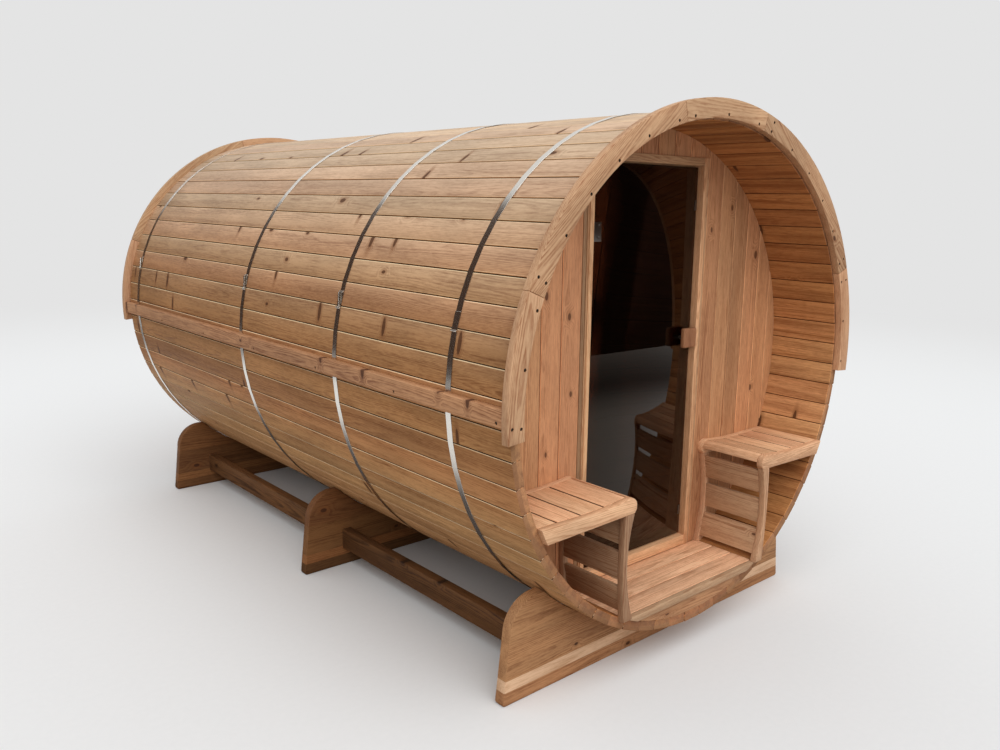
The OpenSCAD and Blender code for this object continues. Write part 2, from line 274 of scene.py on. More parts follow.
def tint(red, green, blue):
    """A colour from its 0 to 255 values on a screen."""
    channels = []
    for value in (red, green, blue):
        v = value / 255
        channels.append(v / 12.92 if v <= 0.04045 else ((v + 0.055) / 1.055) ** 2.4)
    return (*channels, 1.0)


def add(tree, kind, inputs=None, **settings):
    """Adds a shader node with its settings, values and links."""
    node = tree.nodes.new("ShaderNode" + kind)
    for key, value in settings.items():
        setattr(node, key, value)
    for key, value in (inputs or {}).items():
        if isinstance(value, bpy.types.NodeSocket):
            tree.links.new(value, node.inputs[key])
        else:
            node.inputs[key].default_value = value
    return node


def calc(tree, operation, a, b=0.0, clamp=False):
    return add(tree, "Math", {0: a, 1: b}, operation=operation, use_clamp=clamp).outputs[0]


def times(tree, a, b):
    return calc(tree, "MULTIPLY", a, b)


def plus(tree, a, b):
    return calc(tree, "ADD", a, b)


def fade(tree, value, start, end, low=0.0, high=1.0):
    """Goes smoothly from low to high while value goes from start to end."""
    node = add(tree, "MapRange", {0: value, 1: start, 2: end, 3: low, 4: high},
               interpolation_type="SMOOTHSTEP")
    return node.outputs[0]


def span(tree, value, low, high):
    """Spreads a value from 0 to 1 over a range."""
    return add(tree, "MapRange", {0: value, 3: low, 4: high}).outputs[0]


def blend(tree, factor, a, b, mode="MIX"):
    node = add(tree, "Mix", {0: factor, 6: a, 7: b}, data_type="RGBA", blend_type=mode)
    return node.outputs[2]


def dyed(tree, colour, dye, factor=1.0):
    """A colour multiplied by a dye, as far as the factor says."""
    return blend(tree, factor, colour, (*dye, 1), "MULTIPLY")


def stretched(tree, vector, x, y, z):
    return add(tree, "VectorMath", {0: vector, 1: (x, y, z)}, operation="MULTIPLY").outputs[0]


def cloudy(tree, vector, scale=1.0, detail=2.0, roughness=0.5):
    return add(tree, "TexNoise", {"Vector": vector, "Scale": scale, "Detail": detail,
                                  "Roughness": roughness})


def clouds(tree, vector, x, y, z, **settings):
    """The grey value of a cloudy pattern that is squeezed along each axis."""
    return cloudy(tree, stretched(tree, vector, x, y, z), **settings).outputs[0]


def new_surface(name):
    """An empty material with a Principled shader."""
    material = bpy.data.materials.new(name)
    material.use_nodes = True
    tree = material.node_tree
    tree.nodes.clear()
    shader = add(tree, "BsdfPrincipled")
    output = add(tree, "OutputMaterial")
    tree.links.new(shader.outputs[0], output.inputs[0])
    return material, tree, shader


def knot_field(tree, x, z, across, along, share, small, large):
    """Distance from the nearest knot, 1 at its rim, where cells without a knot are far away."""
    spot = add(tree, "CombineXYZ", {0: times(tree, x, across), 1: times(tree, z, along)})
    cells = add(tree, "TexVoronoi", {"Vector": spot.outputs[0], "Scale": 1.0},
                voronoi_dimensions="2D")
    dice = add(tree, "SeparateColor", {0: cells.outputs["Color"]})
    size = span(tree, dice.outputs[1], small, large)
    distance = calc(tree, "DIVIDE", cells.outputs["Distance"], size)
    absent = calc(tree, "GREATER_THAN", dice.outputs[0], share)
    return plus(tree, distance, times(tree, absent, 50.0))


def shifted(tree, value, middle, strength):
    """How far a value lies from its middle, times a strength."""
    return times(tree, calc(tree, "SUBTRACT", value, middle), strength)


def stave_colour_with_painted_light(tree, colour, amount, broad, wear_and_painted_light, sides, weather_and_sheen, deep, inside):
    """A stave's colour with painted light: outside paler from above, partly by weathering and
    partly as a painted sheen, and inside raw, with painted light where day comes in.
    """
    up = add(tree, "SeparateXYZ", {0: add(tree, "NewGeometry").outputs["Normal"]}).outputs[2]
    outside = fade(tree, wear_and_painted_light, PLAIN, WEATHERED)
    # Faces that turn up are paler: partly weathering, partly a painted sheen
    bleach_and_sheen = times(tree, outside, fade(tree, up, 0.0, 1.15))
    pale = blend(tree, times(tree, amount, 0.6), weather_and_sheen, deep)
    colour = blend(tree, bleach_and_sheen, colour, pale)
    raw = blend(tree, fade(tree, broad, 0.42, 0.72, 0.0, 0.6), colour, deep)
    # Inside, painted light: the staves are painted paler from the seats up to the middle, where day
    # comes in through the porch
    place = add(tree, "TexCoord").outputs["Object"]
    height = add(tree, "SeparateXYZ", {0: place}).outputs[2]
    painted_daylight = times(tree, fade(tree, height, 1.50, 0.75), fade(tree, height, 0.60, 0.72))
    raw = blend(tree, 1.0, raw, blend(tree, painted_daylight, inside, (1.36, 1.50, 1.64, 1)), "MULTIPLY")
    colour = blend(tree, outside, raw, colour)
    # Painted shade makes the staves a little darker from the sides up, and painted light from the
    # floor makes the undersides greyer and paler
    painted_top_shade = times(tree, outside, fade(tree, up, -0.45, 0.05))
    colour = dyed(tree, colour, (0.85, 0.84, 0.83), painted_top_shade)
    painted_floor_light = times(tree, outside, fade(tree, up, -0.15, -0.65))
    colour = dyed(tree, colour, (1.22, 1.42, 1.62), painted_floor_light)
    # Worn edges with a painted highlight where they face up, joints darkened with painted shade,
    # and end grain that keeps its own colour
    edge = times(tree, fade(tree, wear_and_painted_light, WEATHERED, 1.9), fade(tree, wear_and_painted_light, 2.4, 2.05))
    edge = times(tree, edge, fade(tree, up, -0.1, 0.4, 0.0, 0.85))
    colour = blend(tree, times(tree, edge, sides), colour, tint(240, 212, 176))
    joint = times(tree, fade(tree, wear_and_painted_light, WORN_AND_LIT, 2.15), sides)
    colour = blend(tree, joint, colour, tint(46, 25, 13))
    ends = blend(tree, 0.12, dyed(tree, colour, (0.72, 0.61, 0.52)), weather_and_sheen)
    return blend(tree, sides, ends, colour)


def softwood(name, pale, deep, knot, ring=0.0032, figure=0.6, streak=0.9, knots=0.35,
             spikes=0.0, weather_and_sheen=None, inside=(1, 1, 1, 1), contrast=(0.86, 1.1)):
    """Planed softwood: growth rings round a pith, fibres, streaks, knots and a tone per board.

    pale, deep and knot are its colours, ring the width of a year, and knots and spikes the
    shares of round and long knots. The bleached face's colour, given for staves, also stands in for
    a painted sheen."""
    material, tree, shader = new_surface(name)
    place = add(tree, "Attribute", attribute_name="grain").outputs["Vector"]
    board = add(tree, "Attribute", attribute_name="board").outputs["Vector"]
    tone, warmth, wear_and_painted_light = add(tree, "SeparateXYZ", {0: board}).outputs
    # The trunk wanders a little along its length, which draws arches on a flat face
    wander = cloudy(tree, stretched(tree, place, 4.0, 4.0, 0.8)).outputs["Color"]
    wander = add(tree, "VectorMath", {0: wander, 1: (0.5, 0.5, 0.5)}, operation="SUBTRACT")
    sway = stretched(tree, wander.outputs[0], 0.05, 0.05, 0.0)
    bent = add(tree, "VectorMath", {0: place, 1: sway}, operation="ADD").outputs[0]
    x, y, z = add(tree, "SeparateXYZ", {0: bent}).outputs
    # Knots push the rings aside
    fields = [knot_field(tree, x, z, 7.5, 4.2, knots, 0.035, 0.085)]
    push = times(tree, fade(tree, fields[0], 4.5, 0.8), 0.008)
    if spikes:
        fields.append(knot_field(tree, x, z, 2.6, 9.0, spikes, 0.07, 0.12))
        push = plus(tree, push, times(tree, fade(tree, fields[1], 3.0, 0.8), 0.006))
    flat = add(tree, "CombineXYZ", {0: x, 1: y}).outputs[0]
    radius = add(tree, "VectorMath", {0: flat}, operation="LENGTH").outputs["Value"]
    years = calc(tree, "DIVIDE", plus(tree, radius, push), ring)
    years = plus(tree, years, clouds(tree, bent, 60, 60, 1.5))
    season = calc(tree, "FRACT", years)
    late = times(tree, fade(tree, season, 0.25, 0.85), fade(tree, season, 1.0, 0.88))
    # Broad streaks, fine fibres and flecks along the board
    broad = clouds(tree, bent, 34, 34, 0.6, detail=4.0, roughness=0.6)
    fine = clouds(tree, place, 420, 420, 9, detail=3.0)
    fleck = clouds(tree, place, 150, 150, 26, roughness=0.7)
    amount = times(tree, late, times(tree, broad, 2 * figure))
    amount = plus(tree, amount, shifted(tree, broad, 0.42, streak))
    amount = plus(tree, amount, shifted(tree, fine, 0.47, 1.2))
    amount = calc(tree, "ADD", amount, shifted(tree, fleck, 0.5, 1.2), clamp=True)
    colour = blend(tree, amount, pale, deep)
    seam = wear_and_painted_light
    if weather_and_sheen:
        normal = add(tree, "SeparateXYZ", {0: add(tree, "NewGeometry").outputs["Normal"]})
        sides = fade(tree, calc(tree, "ABSOLUTE", normal.outputs[1]), 0.8, 0.6)
        colour = stave_colour_with_painted_light(tree, colour, amount, broad, wear_and_painted_light, sides, weather_and_sheen, deep, inside)
        seam = times(tree, times(tree, wear_and_painted_light, -1.0), sides)
    # Joints are darkened with painted shade, with a worn edge on each side that is paler as a
    # painted highlight
    rim = times(tree, fade(tree, seam, 0.1, 0.9), fade(tree, seam, 1.9, 1.2))
    colour = blend(tree, rim, colour, dyed(tree, colour, (1.5, 1.5, 1.45)))
    colour = blend(tree, fade(tree, seam, 1.5, 2.3, 0.0, 0.9), colour, knot)
    # Each board's own tone, some yellower and some pinker
    rosy = dyed(tree, colour, (1.05, 0.95, 0.90))
    sandy = dyed(tree, colour, (1.0, 1.0, 0.94))
    colour = blend(tree, warmth, rosy, sandy)
    cloud = fade(tree, clouds(tree, place, 9, 9, 2.2), 0.3, 0.7, 0.90, 1.10)
    value = times(tree, span(tree, tone, *contrast), cloud)
    colour = add(tree, "VectorMath", {0: colour, "Scale": value}, operation="SCALE").outputs[0]
    # The knots' dark hearts, and a stain round them
    for field in fields:
        colour = blend(tree, times(tree, fade(tree, field, 2.6, 1.0), 0.45), colour, deep)
        colour = blend(tree, times(tree, fade(tree, field, 1.12, 0.8), 0.85), colour, knot)
    tree.links.new(colour, shader.inputs["Base Color"])
    rough = plus(tree, times(tree, fine, 0.25), 0.5)
    if weather_and_sheen:
        rough = plus(tree, rough, fade(tree, wear_and_painted_light, WEATHERED, 1.6, 0.0, 0.4))
    rough = calc(tree, "SUBTRACT", rough, times(tree, late, 0.08))
    tree.links.new(rough, shader.inputs["Roughness"])
    height = plus(tree, times(tree, late, 0.5), times(tree, fine, 0.8))
    hollow = times(tree, fade(tree, fields[0], 1.5, 0.9), 0.8)
    height = calc(tree, "SUBTRACT", height, hollow)
    bump = add(tree, "Bump", {"Strength": 0.35, "Distance": 0.0008, "Height": height})
    tree.links.new(bump.outputs[0], shader.inputs["Normal"])
    shader.inputs["Specular IOR Level"].default_value = 0.15 if weather_and_sheen else 0.32
    return material


def steel(name, colour, roughness, brushed=(40, 900, 40)):
    """Rolled or brushed steel with faint streaks and stains."""
    material, tree, shader = new_surface(name)
    place = add(tree, "TexCoord").outputs["Object"]
    lines = clouds(tree, place, *brushed, detail=3.0)
    stains = cloudy(tree, place, scale=9.0, detail=4.0, roughness=0.65).outputs[0]
    dark = tuple(c * 0.72 for c in colour[:3]) + (1.0,)
    shade = plus(tree, times(tree, lines, 0.25), times(tree, stains, 0.35))
    shade = calc(tree, "MULTIPLY", shade, 1.1, clamp=True)
    tree.links.new(blend(tree, shade, colour, dark), shader.inputs["Base Color"])
    rough = plus(tree, times(tree, lines, 0.04), times(tree, stains, 0.12))
    tree.links.new(plus(tree, rough, roughness - 0.08), shader.inputs["Roughness"])
    bump = add(tree, "Bump", {"Strength": 0.02, "Distance": 0.0001, "Height": lines})
    tree.links.new(bump.outputs[0], shader.inputs["Normal"])
    shader.inputs["Metallic"].default_value = 1.0
    return material


def bronze_glass(name):
    """Dark bronze toughened glass, with faint dust and wipe marks in its gloss."""
    material, tree, shader = new_surface(name)
    place = add(tree, "TexCoord").outputs["Object"]
    dust = clouds(tree, place, 5, 5, 2.2, detail=5.0, roughness=0.6)
    wipe = clouds(tree, place, 30, 30, 4, detail=3.0)
    marks = times(tree, fade(tree, dust, 0.45, 0.8), wipe)
    tree.links.new(times(tree, marks, 0.12), shader.inputs["Roughness"])
    colour = blend(tree, marks, tint(92, 59, 45), tint(86, 58, 46))
    tree.links.new(colour, shader.inputs["Base Color"])
    shader.inputs["Transmission Weight"].default_value = 1.0
    shader.inputs["IOR"].default_value = 1.5
    shader.inputs["Specular Tint"].default_value = (0.80, 0.62, 0.48, 1.0)
    return material


# ---------- Materials ----------

# Stave wood: weathering, with a painted sheen, painted shade and painted light in its colour
STAVE_WOOD = softwood(
    "weathered_stave_wood_with_painted_light", tint(192, 142, 96), tint(134, 84, 48), tint(84, 50, 30),
    figure=0.3, streak=1.1, knots=0.08, spikes=0.025, weather_and_sheen=tint(238, 214, 188),
    inside=(0.93, 0.82, 0.70, 1), contrast=(0.84, 1.12))
TRIM_WOOD = softwood(
    "fascia_wood", tint(206, 169, 134), tint(158, 109, 75), tint(80, 46, 28),
    ring=0.004, figure=0.55, knots=0.12, contrast=(0.70, 1.40))
EAVES_WOOD = softwood(
    "eaves_board_wood", tint(196, 148, 110), tint(136, 88, 58), tint(80, 44, 26),
    ring=0.004, figure=0.5, knots=0.10, spikes=0.22)
WALL_WOOD = softwood(
    "wall_board_wood", tint(208, 156, 116), tint(160, 106, 70), tint(96, 58, 36),
    ring=0.0024, figure=0.45, knots=0.14, contrast=(0.82, 1.16))
FRAME_WOOD = softwood(
    "door_frame_wood", tint(226, 182, 142), tint(182, 128, 90), tint(84, 48, 30),
    ring=0.0026, figure=0.5, knots=0.0, contrast=(0.40, 1.15))
FLOOR_WOOD = softwood(
    "floor_board_wood", tint(234, 194, 158), tint(184, 132, 96), tint(84, 48, 30),
    ring=0.004, figure=0.45, knots=0.08, contrast=(0.68, 1.17))
BENCH_WOOD = softwood(
    "bench_wood", tint(240, 198, 160), tint(190, 136, 98), tint(90, 52, 32),
    ring=0.0032, figure=0.55, knots=0.05, contrast=(0.40, 1.12))
CRADLE_WOOD = softwood(
    "cradle_wood", tint(194, 146, 104), tint(136, 88, 54), tint(66, 36, 20),
    ring=0.0050, figure=0.4, knots=0.22, contrast=(0.30, 1.25))
# Painted shade: a darker, more orange copy of the cradle wood, for the cradles under the barrel
SHADED_CRADLE_WOOD = softwood(
    "shaded_cradle_wood", tint(190, 132, 82), tint(132, 78, 40), tint(66, 36, 18),
    ring=0.0050, figure=0.4, knots=0.22, contrast=(0.30, 1.25))
PALE_CRADLE_WOOD = softwood(
    "pale_cradle_wood", tint(224, 192, 160), tint(186, 144, 108), tint(110, 72, 46),
    ring=0.0050, figure=0.4, knots=0.10)
RAIL_WOOD = softwood(
    "rail_wood", tint(122, 84, 50), tint(74, 47, 26), tint(40, 22, 12),
    ring=0.004, figure=0.7, knots=0.2)
HANDLE_WOOD = softwood(
    "handle_wood", tint(180, 128, 94), tint(138, 86, 58), tint(80, 40, 22),
    ring=0.0022, figure=0.6, knots=0.0, contrast=(0.8, 1.8))
HOOP_STEEL = steel("hoop_steel", (0.92, 0.88, 0.81, 1.0), 0.20, brushed=(60, 500, 60))
HINGE_STEEL = steel("hinge_steel", (0.26, 0.24, 0.22, 1.0), 0.34, brushed=(60, 60, 900))
SCREW_STEEL = steel("screw_steel", (0.07, 0.06, 0.05, 1.0), 0.45)
BRONZE_GLASS = bronze_glass("bronze_glass")


# ---------- Barrel ----------

# How deep each kind of wear, painted highlight and painted shade reaches into a stave
SKIN, WORN_LIT_EDGE, JOINT_SHADE = 0.0004, 0.0012, 0.0035
INNER_SKIN, INNER_WORN_LIT_EDGE = 0.0003, 0.0015


def make_stave():
    """The stave on the right side, flat inside and outside, with a narrow V at its edges."""
    inner_half = INNER_R * math.tan(STAVE_A / 2)
    outer_half = BARREL_R * math.tan(STAVE_A / 2)
    stave = block("stave", (INNER_R, STAVE_Y0, AXIS.z - inner_half),
                  (BARREL_R, STAVE_Y1, AXIS.z + inner_half))

    def widen(factor):
        shape(stave, lambda p: p.x > BARREL_R - SAME, bpy.ops.transform.resize, "corners",
              value=(1, 1, factor), center_override=(BARREL_R, 0, AXIS.z))

    widen(BARREL_R / INNER_R)
    slice_at(stave, (BARREL_R - SLOT_DEPTH, 0, 0), ACROSS)
    widen((outer_half - SLOT_HALF) / outer_half)
    eased(stave, lambda p, q: max(p.x, q.x) < INNER_R + SAME and abs(p.z - q.z) < SAME, 0.0038, 2)
    return soften(stave, 0.0026)


def stave_wear_and_painted_light(out, face):
    """How worn a stave is, and where it gets painted highlight and painted shade, from how far out
    a corner lies.
    """
    slot_floor = BARREL_R - SLOT_DEPTH

    def wear_and_painted_light(point):
        height = (point - AXIS).dot(out)
        if height > face - SKIN:
            return WEATHERED
        if height > slot_floor + WORN_LIT_EDGE:
            return WORN_AND_LIT
        if height > slot_floor - JOINT_SHADE:
            return SHADED_JOINT
        if height < INNER_R + INNER_SKIN:
            return PLAIN
        return INNER_WORN_AND_LIT if height < INNER_R + INNER_WORN_LIT_EDGE else INNER_SHADED_JOINT
    return wear_and_painted_light


# Each run of staves, the angle of its middle and its number of staves
SHELL_PARTS = (
    ("barrel_right", 0, 9), ("barrel_upper_right", 45, 7), ("barrel_top", 90, 9),
    ("barrel_upper_left", 135, 7), ("barrel_left", 180, 9), ("barrel_lower_left", 225, 7),
    ("barrel_bottom", 270, 9), ("barrel_lower_right", 315, 7),
)


# How unevenly the staves' ends are sawn, and how far a stave may stand back
END_PLAY = 0.0025
FACE_PLAY = 0.0016


def make_barrel():
    """64 staves in eight runs, each stave a little different from the next."""
    pattern = make_stave()
    for node, middle, count in SHELL_PARTS:
        staves = []
        for i in range(count):
            angle = math.radians(middle) + (i - (count - 1) / 2) * STAVE_A
            front, back = chance.uniform(0, END_PLAY), chance.uniform(0, END_PLAY)
            sink = chance.uniform(0, FACE_PLAY)

            def play(p):
                x = p.x - sink if p.x > INNER_R + 0.002 else p.x
                return Vector((x, p.y + front if p.y < 0 else p.y - back, p.z))

            stave = turned(move_corners(copy_of(pattern), play), -angle)
            out = Vector((math.cos(angle), 0, math.sin(angle)))
            wear_and_painted_light = stave_wear_and_painted_light(out, BARREL_R - sink)
            staves.append(grained(stave, STAVE_WOOD, LENGTHWISE, out, wear_and_painted_light=wear_and_painted_light))
        installed(node.replace("barrel", "staves"), staves, [node])
    bpy.data.objects.remove(pattern)


make_barrel()


# ---------- Screws ----------

SCREW_HEAD_R = 0.0050
SCREW_HEAD_T = 0.003
# How far a screw head stands back from the face of its board
SCREW_SUNK = 0.0022


def make_screw_head():
    """A countersunk screw head that faces the front, with a sunk square drive."""
    head = rod("screw_head", (0, SCREW_HEAD_T / 2, 0), SCREW_HEAD_R, SCREW_HEAD_T, sides=12)
    shape(head, lambda c, n: n.y < -0.9, bpy.ops.mesh.inset, thickness=SCREW_HEAD_R * 0.5)
    shape(head, lambda c, n: n.y < -0.9 and math.hypot(c.x, c.z) < 0.0001,
          bpy.ops.transform.translate, value=(0, 0.0014, 0))
    return painted(head, SCREW_STEEL)


SCREW = make_screw_head()
SCREW.hide_render = True


def placed_screw(point, turn=0.0, lift=(0, 0, 0)):
    """A copy of the screw head at a point, turned about the vertical."""
    screw = copy_of(SCREW)
    screw.hide_render = False
    spot = Matrix.Translation(Vector(point) + Vector(lift))
    return placed(screw, spot @ Matrix.Rotation(turn, 4, "Z"))


def drilled(board, points, axis, face, depth=0.006, radius=0.0058):
    """Sinks a short hole at each point, from a face of the board."""
    holes = []
    for point in points:
        centre = Vector(point)
        centre["XYZ".index(axis)] = face
        holes.append(rod("drill", centre, radius, depth * 2, axis=axis, sides=12))
    return trim(board, joined(holes))


# ---------- Hoops ----------

HOOP_COUNT = 4
HOOP_T = 0.0012
HOOP_W = 0.028
HOOP_R = (BARREL_R + HOOP_T) / math.cos(STAVE_A / 2)
# The fitting where a band's ends meet: its place round the barrel, its ends and its bolt
FITTING_ANGLE = math.radians(164.7)
FOOT_DROP = 0.034
LIP_RISE = 0.030
LIP_R = 0.0032
BOLT_R = 0.0030
BOLT_STAND = 0.0062
BOLT_SLANT = math.radians(22)


def make_fitting(y, screwed):
    """A band's rolled lip, its foot and its bolt, made on the right side level with the axis."""
    face = HOOP_R
    half = HOOP_W / 2

    def roll(name, z):
        bar = rod(name, (face + 0.0018, y, AXIS.z + z), LIP_R, HOOP_W + 0.002, sides=16)
        return soften(bar, 0.0006, 1)

    tail = block("tail", (face - 0.0002, y - half, AXIS.z - FOOT_DROP),
                 (face + HOOP_T, y + half, AXIS.z + LIP_RISE))
    fitting = [soften(tail, 0.0005, 1), roll("lip", LIP_RISE)]
    if screwed:
        stand = face + BOLT_STAND
        bolt = rod("bolt", (stand, y, AXIS.z - 0.002), BOLT_R, 0.058, axis="Z", sides=16)
        nut = rod("nut", (stand, y, AXIS.z + 0.025), 0.0062, 0.006, axis="Z", sides=6)
        for part in (bolt, nut):
            turned(part, BOLT_SLANT, Vector((face, y, AXIS.z)), "X")
        fitting += [roll("foot", -FOOT_DROP), soften(bolt, 0.0005, 1), soften(nut, 0.0006, 1)]
    return fitting


def make_hoop(node, screwed):
    """A steel band round the staves. Its ends meet at a rolled lip and a slanting bolt."""
    low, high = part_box(node)
    y = (low.y + high.y) / 2
    select_none()
    bpy.ops.mesh.primitive_cylinder_add(
        vertices=STAVE_N, radius=HOOP_R, depth=HOOP_W, location=(0, y, AXIS.z),
        rotation=(math.pi / 2, 0, 0), end_fill_type="NOTHING")
    band = turned(named("band"), STAVE_A / 2)
    only(band)
    bpy.ops.object.modifier_add(type="SOLIDIFY")
    wall = band.modifiers[-1]
    wall.thickness = HOOP_T * math.cos(STAVE_A / 2)
    wall.offset = -1
    bpy.ops.object.modifier_apply(modifier=wall.name)
    parts = [painted(soften(band, 0.0004, segments=1, angle=60), HOOP_STEEL)]
    for part in make_fitting(y, screwed):
        parts.append(turned(painted(part, HOOP_STEEL), -FITTING_ANGLE))
    installed(node.replace("hoop", "steel_hoop"), parts, [node])


for number in range(1, HOOP_COUNT + 1):
    make_hoop(f"hoop_{number}", screwed=number > 1)


# ---------- Fascias ----------

FASCIA_RO = BARREL_R + 0.035
FASCIA_RI = FASCIA_RO - 0.069
# Where the five boards end, in degrees, and half of the gap at a joint
FASCIA_ENDS = (-4.4, 22.5, 76.0, 104.0, 157.5, 184.4)
FASCIA_JOINT = math.degrees(0.0005 / FASCIA_RO)
FASCIA_STEP = math.radians(2.4)
# The screws: their circle and the outer ones' circle
SCREW_R = FASCIA_RI + 0.014
OUTER_SCREW_R = SCREW_R + 0.036
# Degrees from screw to screw, and from a joint to the first
SCREW_STEP = 10.6
SCREW_MARGIN = 2.6
SCREW_SHIFT = math.radians(-0.3)


def round_axis(radius, angle):
    """A point round the barrel's axis."""
    return (radius * math.cos(angle), 0, AXIS.z + radius * math.sin(angle))


def fascia_screws(start, end):
    """Screws along a fascia board, here and there with a second one at a joint."""
    count = max(1, round((end - start - 2 * SCREW_MARGIN) / SCREW_STEP))
    step = (end - start - 2 * SCREW_MARGIN) / count
    angles = [math.radians(start + SCREW_MARGIN + step * k) for k in range(count + 1)]
    points = [round_axis(SCREW_R, angle) for angle in angles]
    for angle, side in ((angles[0], -1), (angles[-1], 1)):
        if chance.random() < 0.5:
            points.append(round_axis(OUTER_SCREW_R, angle + side * SCREW_SHIFT))
    return points


def make_fascia(node, name):
    """Five curved boards sawn from straight planks, screwed to the ends of the staves."""
    low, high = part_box(node)
    front = low.y < 0
    face, turn = (low.y, 0.0) if front else (high.y, math.pi)
    inward = 1 if front else -1
    parts = []
    for i, (start, end) in enumerate(zip(FASCIA_ENDS, FASCIA_ENDS[1:])):
        a = math.radians(start + (FASCIA_JOINT if i > 0 else 0))
        b = math.radians(end - (FASCIA_JOINT if i < 4 else 0))
        select_none()
        bpy.ops.mesh.primitive_plane_add(
            size=1, location=((FASCIA_RI + FASCIA_RO) / 2, (low.y + high.y) / 2, AXIS.z))
        bpy.context.object.scale = (FASCIA_RO - FASCIA_RI, high.y - low.y, 1)
        board = turned(named("fascia_board"), -a)
        shape(board, everything, bpy.ops.mesh.spin, steps=max(4, round((b - a) / FASCIA_STEP)),
              angle=b - a, center=AXIS, axis=LENGTHWISE)
        soften(outwards(board), 0.0025)
        points = fascia_screws(start, end)
        drilled(board, points, "Y", face)
        middle = (a + b) / 2
        along = (-math.sin(middle), 0, math.cos(middle))
        # The lowest board on the right of the porch is the palest
        tone = chance.uniform(0.35, 0.54) + (0.3 if front and i == 0 else 0)
        parts.append(grained(board, TRIM_WOOD, along, (0, -inward, 0), tone=tone))
        for point in points:
            parts.append(placed_screw(point, turn, (0, face + inward * SCREW_SUNK, 0)))
    installed(name, parts, [node])


make_fascia("front_fascia", "front_fascia_boards")
make_fascia("rear_fascia", "rear_fascia_boards")


# ---------- Eaves boards ----------

GROOVE_DEPTH = 0.0015
EAVES_SCREWS = 7
EAVES_SCREW_DROP = 0.015
EAVES_SCREW_MARGIN = 0.03


def make_eaves_board(side, word):
    """A board along the barrel's side, grooved over the hoops and screwed to the stave."""
    node = word + "_eaves_board"
    low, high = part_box(node)
    board = soften(block("eaves_board", low, high), 0.004, 3)
    for number in range(1, HOOP_COUNT + 1):
        a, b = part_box(f"hoop_{number}")
        trim(board, block("groove", (side * (BARREL_R - REACH), a.y - SAME, low.z - REACH),
                          (side * (BARREL_R + GROOVE_DEPTH), b.y + SAME, high.z + REACH)))
    face = high.x if side > 0 else low.x
    step = (high.y - low.y - 2 * EAVES_SCREW_MARGIN) / (EAVES_SCREWS - 1)
    ys = [low.y + EAVES_SCREW_MARGIN + step * k for k in range(EAVES_SCREWS)]
    points = [(0, y, AXIS.z - EAVES_SCREW_DROP) for y in ys]
    drilled(board, points, "X", face)
    parts = [grained(board, EAVES_WOOD, LENGTHWISE, (side, 0, 0), tone=0.5)]
    for point in points:
        parts.append(placed_screw(point, side * math.pi / 2, (face - side * SCREW_SUNK, 0, 0)))
    installed(word + "_eaves_trim", parts, [node])


make_eaves_board(-1, "left")
make_eaves_board(1, "right")


# ---------- Walls and floors ----------

BOARD_W = 0.100
# Nothing narrower than this is sawn
THINNEST = 0.004
FRAME_HALF = -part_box("door_jamb_left")[0].x
BARREL_TOP, BARREL_FLOOR = AXIS.z + INNER_R, AXIS.z - INNER_R


def barrel_bore(y0, y1):
    """A round blank that fills the inside of the barrel, a little past two places."""
    length = y1 - y0 + 2 * REACH
    return rod("bore", (0, (y0 + y1) / 2, AXIS.z), WALL_R, length, sides=180)


# The boards are paler on the left, and at the far right beyond PALE_FROM
WALL_TONES = ((0.45, 0.8), (0.05, 0.55), (0.5, 1.0))
PALE_FROM = 0.68
WALL_SKIN = 0.003


def wall_boards(x0, x1, z0, z1, y0, y1, start):
    """Upright tongued boards with a V at each joint, cut round to fit the barrel."""
    bore = barrel_bore(y0, y1)
    first = math.floor((x0 - start) / BOARD_W)
    boards = []
    for i in range(first, first + math.ceil((x1 - x0) / BOARD_W) + 2):
        a = max(x0, start + i * BOARD_W)
        b = min(x1, start + (i + 1) * BOARD_W)
        if b - a < THINNEST:
            continue
        board = block("wall_board", (a, y0, z0), (b, y1, z1))
        eased(board, lambda p, q: abs(p.x - q.x) < SAME and abs(p.y - q.y) < SAME, 0.0040)
        trim(board, bore, "INTERSECT", keep_cutter=True)
        if len(board.data.vertices) < 4:
            bpy.data.objects.remove(board)
            continue
        light = WALL_TONES[0] if b < 0 else WALL_TONES[1] if b < PALE_FROM else WALL_TONES[2]
        # Down in the joints, the sides of each board get painted shade, and a paler edge as a
        # painted highlight
        boards.append(grained(
            board, WALL_WOOD, UPRIGHT, FORWARDS, tone=chance.uniform(*light),
            wear_and_painted_light=lambda p: SHADED_JOINT if y0 + WALL_SKIN < p.y < y1 - WALL_SKIN else PLAIN))
    bpy.data.objects.remove(bore)
    return boards


def make_walls():
    """The porch wall round the door frame, in four parts, and the rear wall."""
    low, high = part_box("porch_wall_right")
    floor_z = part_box("porch_floor")[1].z
    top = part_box("door_header")[1].z
    limits = (
        ("porch_wall_left", -WALL_R, -FRAME_HALF, low.z, high.z),
        ("porch_wall_right", FRAME_HALF, WALL_R, low.z, high.z),
        ("porch_wall_over_door", -FRAME_HALF, FRAME_HALF, top, BARREL_TOP),
        ("porch_wall_below_door", -FRAME_HALF, FRAME_HALF, BARREL_FLOOR, floor_z),
    )
    for node, x0, x1, z0, z1 in limits:
        start = FRAME_HALF if x0 > 0 else -FRAME_HALF
        boards = wall_boards(x0, x1, z0, z1, low.y, high.y, start)
        installed(node.replace("porch_wall", "porch_boards"), boards, [node])
    low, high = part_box("rear_wall")
    boards = wall_boards(low.x, high.x, low.z, high.z, low.y, high.y, -BOARD_W / 2)
    installed("rear_wall_boards", boards, ["rear_wall"])


make_walls()


